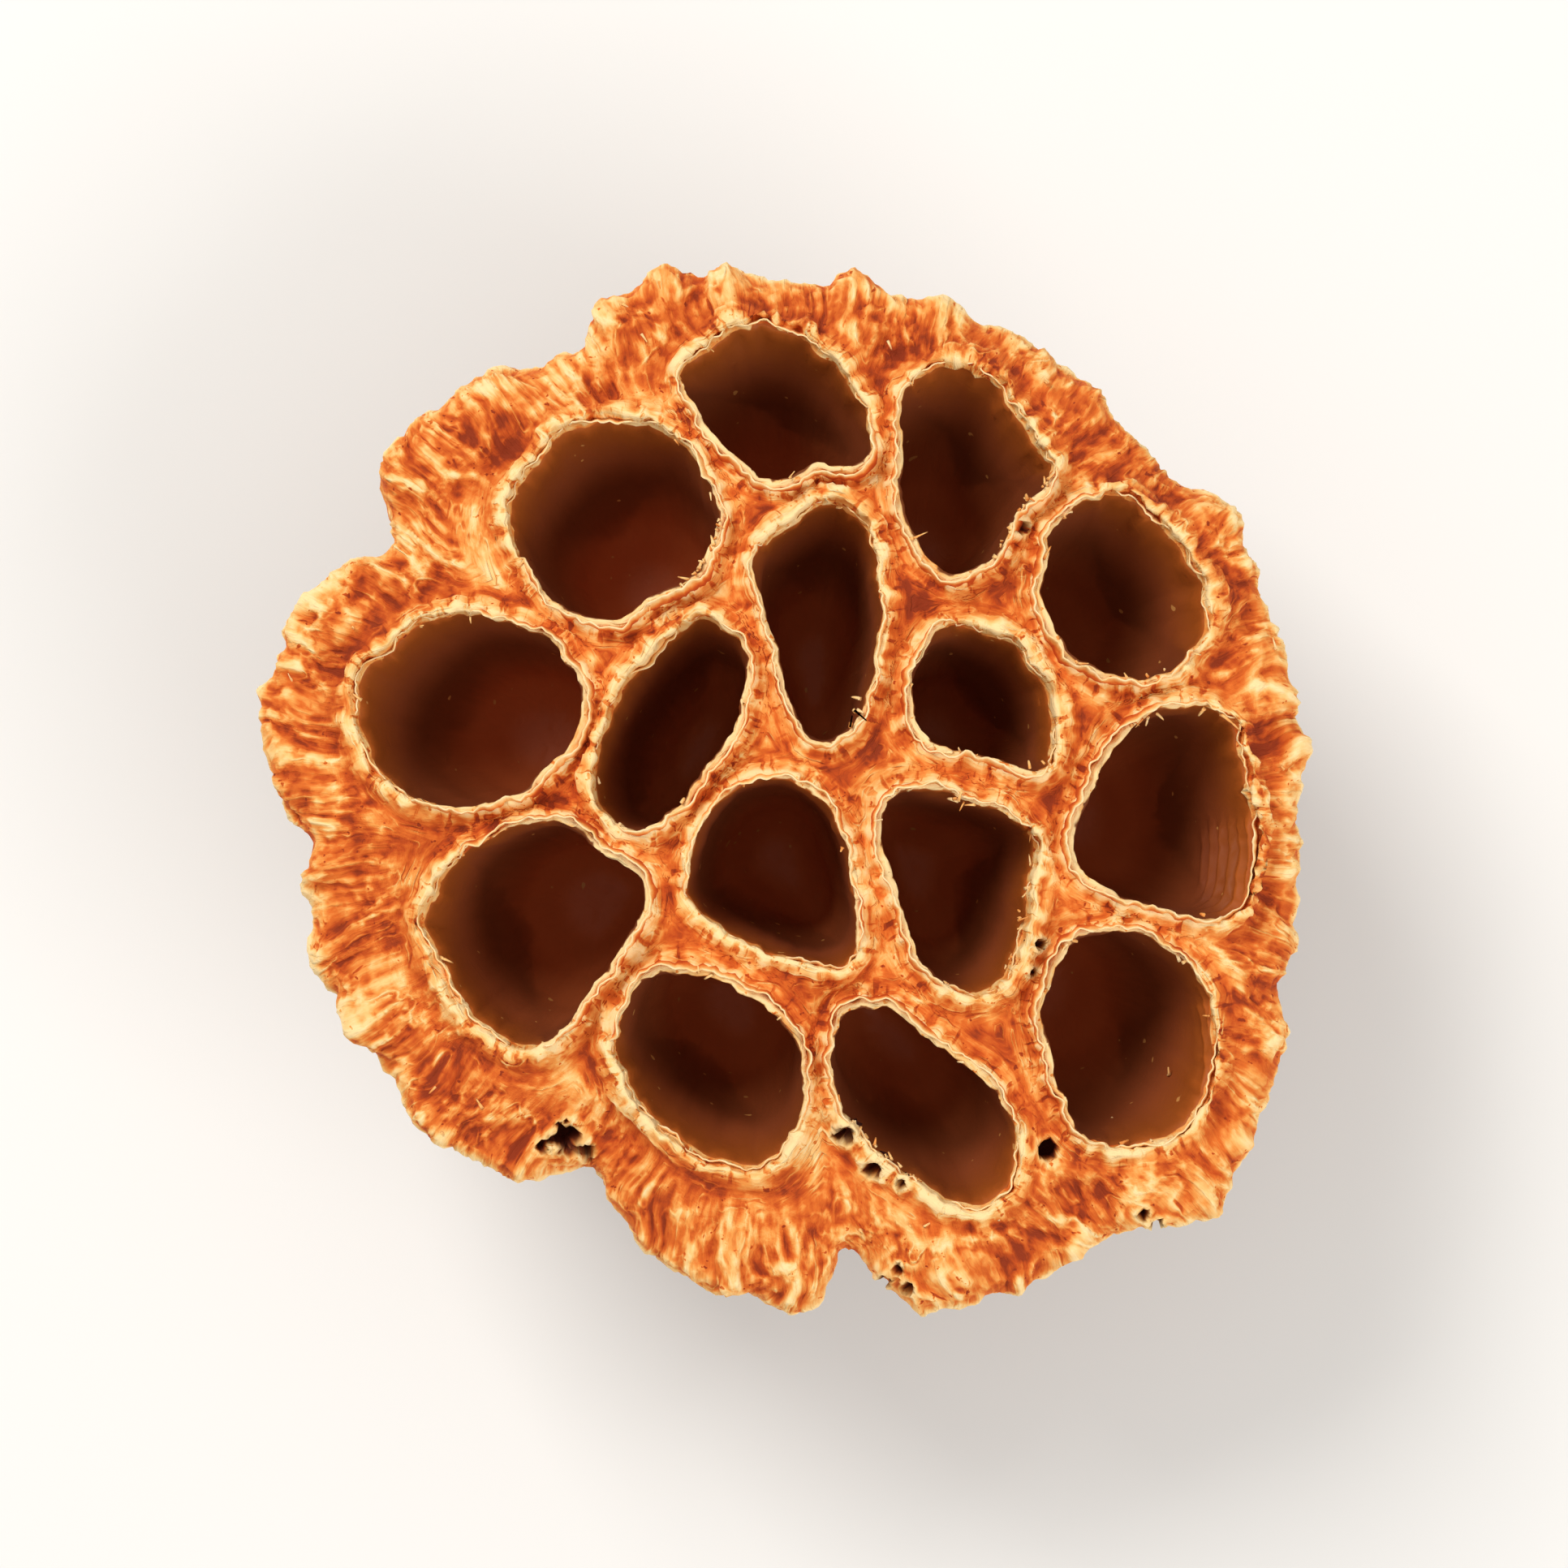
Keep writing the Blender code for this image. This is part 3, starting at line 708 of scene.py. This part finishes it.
def tear_lips(mesh, loops, sizes, rows, root):
    """Shapes the extruded strips: each vertex goes to its row of the lip at the nearest place along its mouth."""
    points = read_points(mesh)
    mouths = np.vstack(loops)
    number = nearest(points, mouths)
    base = mouths[number]
    out = np.vstack([loop_normals(loop) for loop in loops])[number]
    row = np.rint((points[:, 2] - base[:, 2]) / LIP_STEP)
    rise = row / rows

    height = 0.75 * soft_noise(base / 2.1 + 101) + 0.55 * soft_noise(base / 0.7 + 103)
    notch = step(0.30, 0.60, soft_noise(base / 1.5 + 107))
    top = sizes.lip_height / MM * (1 + height) * (1 - 0.9 * notch)
    top = np.clip(top, -0.1, POD_HIGH.z - base[:, 2] - 0.05)
    curl = 0.30 * soft_noise(base / 3.1 + 109) + 0.20 * soft_noise(base / 0.8 + 113) + 0.10
    drift = 0.24 + 0.08 * soft_noise(base / 0.42 + 117) + wobble(mouths)[number] + curl * rise**2 + 0.45 * (1 - rise)
    points = base + out * drift[:, None]
    points[:, 2] = base[:, 2] - root + (top + root) * rise
    points[:, 2] = np.minimum(points[:, 2], POD_HIGH.z - TOP_CLEARANCE)
    write_points(mesh, points)
    store(mesh, "rise", rise)
    store(mesh, "lip_grain", columns(base[:, 0] / 1.1, base[:, 1] / 1.1, points[:, 2] / 2.4))


class LOTUSPOD_OT_model_shreds(bpy.types.Operator):
    """Model the torn fibres that curl off the lips and the rim"""

    bl_idname = "lotus_pod.model_shreds"
    bl_label = "Model shreds"
    bl_options = {"REGISTER", "UNDO"}

    def execute(self, context):
        sizes = context.scene.lotus_pod_surface
        bpy.ops.object.select_all(action="DESELECT")
        bpy.ops.mesh.primitive_cylinder_add(vertices=5, radius=MM, depth=MM, end_fill_type="TRIFAN")
        shreds = context.view_layer.objects.active
        shreds.name = shreds.data.name = "pod_shreds"
        bpy.ops.object.mode_set(mode="EDIT")
        bpy.ops.mesh.select_all(action="SELECT")
        bpy.ops.mesh.bisect(plane_co=(0, 0, 0.25 * MM), plane_no=(0, 0, 1))
        bpy.ops.mesh.select_all(action="SELECT")
        bpy.ops.mesh.bisect(plane_co=(0, 0, -0.25 * MM), plane_no=(0, 0, 1))
        bpy.ops.mesh.select_all(action="SELECT")
        bpy.ops.mesh.bisect(plane_co=(0, 0, 0), plane_no=(0, 0, 1))
        bpy.ops.object.mode_set(mode="OBJECT")
        apply_modifier(shreds, "TRIANGULATE", "triangles")
        scatter_shreds(shreds, sizes.shreds)
        bpy.ops.object.shade_smooth()
        shreds.data.materials.clear()
        shreds.data.materials.append(lip_material(context.scene.lotus_pod_colours))
        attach(shreds, BODY)
        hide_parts(NODE)
        return {"FINISHED"}


def scatter_shreds(obj, count):
    """Replaces the one strip by curved, tapered copies of it that stand on the lips and along the rim's edge."""
    strip = read_points(obj.data)
    faces = np.array([tuple(p.vertices) for p in obj.data.polygons])
    tree = solid_tree()
    chance = np.random.default_rng(SHRED_SEED)
    mouths = np.vstack(measure_mouths(tree))
    rim_turns = chance.uniform(0, math.tau, count // 3)
    near_strands = [np.hypot(mouths[:, 0] - x, mouths[:, 1] - y).argmin() for x, y, _ in STRANDS]
    picks = [near_strands, chance.integers(len(mouths), size=count - len(rim_turns))]
    for x, y, reach in FRAYED:
        picks.append(chance.choice(np.flatnonzero(np.hypot(mouths[:, 0] - x, mouths[:, 1] - y) < reach),
                                   SHREDS_A_STRETCH))
    roots = list(mouths[np.concatenate(picks)] + (0, 0, -0.1))
    for turn in rim_turns:
        way = Vector((math.cos(turn), math.sin(turn), 0))
        spot = way * (RIM_RADIUS - chance.uniform(0.5, 7)) + Vector((0, 0, ABOVE))
        hit = tree.ray_cast(spot, Vector((0, 0, -1)))[0]
        if hit:
            roots.append(np.array(hit))
    copies, rises = [], []
    lengths = [strand[2] for strand in STRANDS] + chance.uniform(0.35, 1.2, len(roots) - len(STRANDS)).tolist()
    for root, length in zip(roots, lengths):
        width, depth = chance.uniform(0.07, 0.20), chance.uniform(0.04, 0.07)
        turn = chance.uniform(0, math.tau)
        tilt = chance.uniform(0.5, 1.45)
        bend = chance.choice([-1, 1]) * chance.uniform(0.5, 2.0)
        share = strip[:, 2] + 0.5
        taper = 1 - 0.7 * share
        along = share * length
        lean = tilt + bend * share
        x = along * np.sin(lean) + strip[:, 1] * depth * taper
        y = -strip[:, 0] * width * taper
        z = along * np.cos(lean) - 0.1
        placed = columns(x * math.cos(turn) - y * math.sin(turn), x * math.sin(turn) + y * math.cos(turn), z) + root
        placed[:, 2] = np.minimum(placed[:, 2], POD_HIGH.z - TOP_CLEARANCE)
        reach = np.hypot(placed[:, 0], placed[:, 1]).clip(0.1)
        placed[:, :2] *= np.minimum(1, (RIM_RADIUS - 0.3) / reach)[:, None]
        copies.append(placed)
        rises.append(np.full(len(strip), chance.uniform(0.7, 1)))
    joined = bpy.data.meshes.new(obj.name)
    rows = np.vstack([faces + len(strip) * k for k in range(len(copies))])
    joined.from_pydata((np.vstack(copies) * MM).tolist(), [], rows.tolist())
    store(joined, "rise", np.concatenate(rises))
    store(joined, "lip_grain", np.vstack(copies) / 1.3)
    obj.data = joined


class Nodes:
    """A short way to write a material's nodes."""

    def __init__(self, name):
        self.material = bpy.data.materials.new(name)
        self.material.use_nodes = True
        self.tree = self.material.node_tree
        self.shader = self.tree.nodes["Principled BSDF"]

    def add(self, kind, **values):
        node = self.tree.nodes.new(kind)
        for key, value in values.items():
            setattr(node, key, value)
        return node

    def link(self, value, socket):
        if isinstance(value, bpy.types.NodeSocket):
            self.tree.links.new(value, socket)
        else:
            socket.default_value = value

    def math(self, operation, *values, clamp=False):
        node = self.add("ShaderNodeMath", operation=operation, use_clamp=clamp)
        for value, socket in zip(values, node.inputs):
            self.link(value, socket)
        return node.outputs[0]

    def sum(self, start, *terms):
        """start plus each value times its weight."""
        for value, weight in terms:
            start = self.math("MULTIPLY_ADD", value, weight, start)
        return start

    def remap(self, value, low, high, to_low=0.0, to_high=1.0):
        node = self.add("ShaderNodeMapRange", interpolation_type="SMOOTHSTEP")
        for given, socket in zip((value, low, high, to_low, to_high), node.inputs):
            self.link(given, socket)
        return node.outputs[0]

    def attribute(self, name, output="Fac"):
        return self.add("ShaderNodeAttribute", attribute_name=name).outputs[output]

    def place(self):
        return self.add("ShaderNodeTexCoord").outputs["Object"]

    def noise(self, vector, scale, detail=3.0, roughness=0.55):
        """Noise from about -1 to 1."""
        node = self.add("ShaderNodeTexNoise")
        self.link(vector, node.inputs["Vector"])
        node.inputs["Scale"].default_value = scale
        node.inputs["Detail"].default_value = detail
        node.inputs["Roughness"].default_value = roughness
        return self.math("MULTIPLY_ADD", node.outputs["Fac"], 4.0, -2.0)

    def line(self, value, at, width):
        """1 where the value is just that, fading to 0 within the width: a thin line along its contour."""
        gap = self.math("ABSOLUTE", self.math("SUBTRACT", value, at))
        return self.remap(gap, 0.0, width, 1.0, 0.0)

    def ramp(self, value, *stops):
        """The colour for a value, between stops that each give a value and its colour."""
        node = self.add("ShaderNodeValToRGB")
        self.link(value, node.inputs["Fac"])
        elements = node.color_ramp.elements
        while len(elements) < len(stops):
            elements.new(0.5)
        for element, (at, colour) in zip(elements, stops):
            element.position = at
            element.color = colour
        return node.outputs["Color"]

    def mix(self, share, first, second, kind="RGBA"):
        """first where the share is 0 and second where it is 1; kind is RGBA for colours or VECTOR."""
        node = self.add("ShaderNodeMix", data_type=kind)
        for value, name, sort in ((share, "Factor", "VALUE"), (first, "A", kind), (second, "B", kind)):
            self.link(value, next(s for s in node.inputs if s.name == name and s.type == sort))
        return next(s for s in node.outputs if s.type == kind)

    def bump(self, height, strength, distance):
        node = self.add("ShaderNodeBump")
        node.inputs["Distance"].default_value = distance * MM
        self.link(strength, node.inputs["Strength"])
        self.link(height, node.inputs["Height"])
        self.link(node.outputs["Normal"], self.shader.inputs["Normal"])


def shade_of(colour, factor):
    """The colour made darker or lighter."""
    return tuple(min(1, c * factor) for c in colour[:3]) + (1.0,)


def between(first, second, share):
    """The colour that share of the way from the first to the second."""
    return tuple(a + (b - a) * share for a, b in zip(first, second))


def skin_material(colours):
    """The dried skin: cream ridges over orange and red valleys, with painted highlight on ridges and painted shade
    in hollows, a brown fibrous flank and dark smooth cells with painted light and shade on their walls.
    """
    n = Nodes("dried_pod_skin")
    place = n.place()
    rim_grain = n.attribute("rim_grain", "Vector")
    web_grain = n.attribute("web_grain", "Vector")
    flank_grain = n.attribute("flank_grain", "Vector")
    cell_grain = n.attribute("cell_grain", "Vector")
    ridge, painted_broad_shade, tone = n.attribute("ridge"), n.attribute("painted_broad_shade"), n.attribute("tone")
    lining, depth, flank = n.attribute("lining"), n.attribute("depth"), n.attribute("flank")
    shade, valley, skin, light, cream = (
        tuple(c) for c in (colours.shade, colours.valley, colours.skin, colours.light, colours.ridge))

    broad = n.noise(place, 150, 2)
    patches = n.noise(place, 300, 3)
    specks = n.noise(place, 1500, 2)
    rim_streaks = n.noise(rim_grain, 1.6, 4, 0.6)
    web_streaks = n.noise(web_grain, 1.0, 4, 0.6)
    band = n.attribute("band")
    streaks = n.mix(band, web_streaks, rim_streaks)
    rim_folds = n.noise(rim_grain, 0.85, 1.5)
    web_folds = n.noise(web_grain, 0.8, 1.5)
    folds = n.mix(band, web_folds, rim_folds)
    # Painted highlight and shadow: a cream line along each fold's crest and a dark line beside it
    crease_highlight = n.line(folds, 0.0, 0.13)
    shadow = n.line(folds, 0.24, 0.15)
    broken = n.remap(n.noise(place, 520, 2), -0.35, 0.55)
    fold_relief = n.math("MULTIPLY", broken, n.sum(n.math("MULTIPLY", crease_highlight, 0.22), (shadow, -0.20)))
    hatch = n.noise(n.mix(band, web_grain, rim_grain, "VECTOR"), 4.6, 2)
    pits = n.remap(n.sum(specks, (tone, 0.12)), 0.72, 0.95)
    comb = n.noise(n.attribute("comb_grain", "Vector"), 1.0, 3, 0.6)
    comb_lines = n.math("MULTIPLY", n.remap(comb, -0.9, 0.9, -1.0, 1.0), band)
    dashes = n.remap(n.noise(rim_grain, 3.0, 2), 0.70, 1.05)
    stitches = n.remap(n.noise(n.attribute("lip_grain", "Vector"), 1.1, 2), 0.20, 0.70)
    stitches = n.math("MULTIPLY", stitches, n.attribute("slope"))
    blotches = n.math("MULTIPLY", patches, n.sum(0.05, (band, 0.06)))
    inner_streaks = n.math("MULTIPLY", web_streaks, n.math("SUBTRACT", 1.0, band))
    # Painted highlight and shade: the fine and the broad curvature make ridges and bulges lighter and creases and
    # hollows darker
    relief = n.sum(
        0.43, (tone, 0.20), (ridge, 0.10), (painted_broad_shade, 0.10), (streaks, 0.13), (blotches, 1.0), (broad, 0.22),
        (specks, 0.04), (hatch, 0.06), (fold_relief, 1.0), (pits, -0.40), (n.math("MULTIPLY", dashes, band), -0.34),
        (comb_lines, 0.11), (stitches, -0.34), (inner_streaks, 0.10))
    evened = n.math("MULTIPLY", n.attribute("side"), n.math("SUBTRACT", 0.50, relief))
    relief = n.sum(relief, (evened, 0.62))
    face_colour = n.ramp(
        relief, (0.02, shade), (0.20, valley), (0.40, skin), (0.57, light), (0.76, cream),
        (0.95, between(cream, (1, 0.85, 0.5, 1), 0.45)))
    # Painted shade: the holes are coloured near black, darker than their shallow modelled depth shades them
    face_colour = n.mix(n.attribute("hole"), face_colour, shade_of(shade, 0.25))

    brown, tan = tuple(colours.flank), tuple(colours.flank_light)
    fibre = n.noise(flank_grain, 2.2, 4, 0.65)
    # Painted highlight and shade: the flank is lighter on ridges and bulges and darker in creases and hollows, down
    # to a shaded copy of its brown
    flank_relief = n.sum(0.36, (ridge, 0.12), (painted_broad_shade, 0.07), (fibre, 0.18), (patches, 0.07), (tone, 0.22))
    flank_colour = n.ramp(
        flank_relief, (0.08, shade_of(brown, 0.35)), (0.36, brown), (0.56, between(brown, tan, 0.45)), (0.80, tan))
    outside = n.mix(flank, face_colour, flank_colour)

    dark, painted_mouth_light = tuple(colours.lining), tuple(colours.painted_mouth_light)
    wall_streaks = n.noise(cell_grain, 1.3, 3, 0.6)
    # Painted highlight: small ridges on the walls count as shallower, so they are lighter
    wall_depth = n.sum(depth, (wall_streaks, 0.55), (ridge, -0.35), (patches, 0.35))
    outer = n.remap(n.attribute("lit_side"), -0.2, 0.8)
    dust = n.remap(n.noise(place, 900, 1), 1.02, 1.12)
    share = n.math("DIVIDE", wall_depth, 20.0)
    # Painted light and shade in the cells: shaded copies of the lining under the mouth, a lit band on the lit walls
    # below the lip, and lighter again towards the bottom as painted fill light
    shaded_wall_colour = n.ramp(
        share, (0.0, shade_of(painted_mouth_light, 0.35)), (0.035, shade_of(dark, 0.34)), (0.30, shade_of(dark, 0.40)),
        (0.60, shade_of(dark, 0.58)), (0.92, dark))
    lit_wall_colour = n.ramp(
        share, (0.0, shade_of(painted_mouth_light, 0.90)), (0.10, shade_of(painted_mouth_light, 0.60)), (0.32, shade_of(dark, 0.54)),
        (0.52, shade_of(dark, 0.38)), (0.68, shade_of(dark, 0.48)), (0.92, dark))
    inside = n.mix(dust, n.mix(outer, shaded_wall_colour, lit_wall_colour), tan)
    colour = n.mix(n.remap(lining, 0.3, 0.6), outside, inside)
    n.link(colour, n.shader.inputs["Base Color"])

    n.link(n.remap(lining, 0.0, 1.0, 0.85, 0.55), n.shader.inputs["Roughness"])
    n.shader.inputs["Specular IOR Level"].default_value = 0.25
    height = n.sum(
        n.math("MULTIPLY", streaks, 0.45), (specks, 0.16), (fold_relief, 2.0), (stitches, -0.5), (comb_lines, 0.45),
        (n.math("MULTIPLY", fibre, flank), 0.5))
    n.bump(height, n.remap(lining, 0.0, 1.0, 0.8, 0.1), 0.16)
    return n.material


def lip_material(colours):
    """Cream paper of the lips and shreds, ochre towards the root and flecked with brown."""
    n = Nodes("dried_pod_paper")
    place = n.place()
    grain = n.attribute("lip_grain", "Vector")
    rise = n.attribute("rise")
    cream, light, skin, valley = (
        tuple(c) for c in (colours.ridge, colours.light, colours.skin, colours.valley))
    streaks = n.noise(grain, 1.2, 3, 0.6)
    flecks = n.noise(place, 1100, 2)
    relief = n.sum(-0.12, (n.math("POWER", rise, 1.5), 0.92), (streaks, 0.15), (flecks, 0.12))
    n.link(n.ramp(relief, (0.02, valley), (0.24, skin), (0.42, light), (0.62, cream),
                  (0.88, between(cream, (1, 0.88, 0.58, 1), 0.5))), n.shader.inputs["Base Color"])
    n.shader.inputs["Roughness"].default_value = 0.7
    n.shader.inputs["Specular IOR Level"].default_value = 0.35
    n.bump(n.sum(n.math("MULTIPLY", streaks, 0.5), (flecks, 0.2)), 0.6, 0.1)
    return n.material


def plain_material(name, colour, roughness):
    """One even colour, for the studio alone."""
    material = bpy.data.materials.new(name)
    material.use_nodes = True
    shader = material.node_tree.nodes["Principled BSDF"]
    shader.inputs["Base Color"].default_value = colour
    shader.inputs["Roughness"].default_value = roughness
    return material


def add_light(name, place, target, size, power, colour):
    """A square soft light aimed at the target."""
    data = bpy.data.lights.new(name, "AREA")
    data.shape = "SQUARE"
    data.size = size
    data.energy = power
    data.color = colour
    light = bpy.data.objects.new(name, data)
    bpy.context.scene.collection.objects.link(light)
    light.location = place
    light.rotation_euler = (target - place).to_track_quat("-Z", "Y").to_euler()


class LOTUSPOD_OT_set_stage(bpy.types.Operator):
    """Set the plain pale floor, the soft light and the camera that looks down on the face"""

    bl_idname = "lotus_pod.set_stage"
    bl_label = "Set stage"
    bl_options = {"REGISTER", "UNDO"}

    def execute(self, context):
        stage = context.scene.lotus_pod_stage
        low, high = CAD_BOX
        centre = (low + high) / 2

        bpy.ops.object.select_all(action="DESELECT")
        bpy.ops.mesh.primitive_plane_add(size=FLOOR_SIZE, location=(0, 0, low.z))
        floor = context.view_layer.objects.active
        floor.name = "studio_floor"
        floor.data.materials.append(plain_material("studio_floor", stage.floor, 0.6))
        bpy.ops.object.transform_apply(location=True, rotation=True, scale=True)

        for name, (place, size, power, colour) in LIGHTS.items():
            add_light(name, Vector(place), centre, size, power, colour)

        world = bpy.data.worlds.new("studio")
        world.use_nodes = True
        background = world.node_tree.nodes["Background"]
        background.inputs["Color"].default_value = SKY_COLOUR
        background.inputs["Strength"].default_value = SKY_STRENGTH
        context.scene.world = world
        context.scene.view_settings.view_transform = "Standard"

        camera_data = bpy.data.cameras.new("camera")
        camera_data.lens = stage.lens
        camera = bpy.data.objects.new("camera", camera_data)
        context.scene.collection.objects.link(camera)
        target = Vector((centre.x, centre.y, high.z - RIM_DROP * MM))
        width = (high.x - low.x) / stage.fill
        distance = width * camera_data.lens / camera_data.sensor_width
        back = Vector((0, -math.cos(stage.elevation), math.sin(stage.elevation)))
        camera.location = target + back * distance
        camera.rotation_euler = (-back).to_track_quat("-Z", "Y").to_euler()
        camera_data.clip_start, camera_data.clip_end = NEAREST_SEEN, FARTHEST_SEEN
        context.scene.camera = camera
        return {"FINISHED"}


class LOTUSPOD_PT_panel(bpy.types.Panel):
    """Buttons for each piece, and its values"""

    bl_label = "Dried lotus pod"
    bl_idname = "LOTUSPOD_PT_panel"
    bl_space_type = "VIEW_3D"
    bl_region_type = "UI"
    bl_category = "Lotus pod"

    def draw(self, context):
        layout = self.layout
        for operator in OPERATORS:
            layout.operator(operator.bl_idname)
        for settings in (context.scene.lotus_pod_surface, context.scene.lotus_pod_colours,
                         context.scene.lotus_pod_stage):
            box = layout.box()
            for name in settings.bl_rna.properties.keys():
                if name not in ("rna_type", "name"):
                    box.prop(settings, name)


OPERATORS = (LOTUSPOD_OT_set_stage, LOTUSPOD_OT_model_skin, LOTUSPOD_OT_model_lips, LOTUSPOD_OT_model_shreds)
SETTINGS = {"lotus_pod_surface": LotusPodSurface, "lotus_pod_colours": LotusPodColours,
            "lotus_pod_stage": LotusPodStage}
CLASSES = (*SETTINGS.values(), *OPERATORS, LOTUSPOD_PT_panel)


def register():
    for cls in CLASSES:
        bpy.utils.register_class(cls)
    for name, group in SETTINGS.items():
        setattr(bpy.types.Scene, name, bpy.props.PointerProperty(type=group))


def unregister():
    for name in SETTINGS:
        delattr(bpy.types.Scene, name)
    for cls in reversed(CLASSES):
        bpy.utils.unregister_class(cls)


def main():
    register()
    bpy.ops.lotus_pod.set_stage()
    bpy.ops.lotus_pod.model_skin()
    bpy.ops.lotus_pod.model_lips()
    bpy.ops.lotus_pod.model_shreds()


if __name__ == "__main__":
    main()
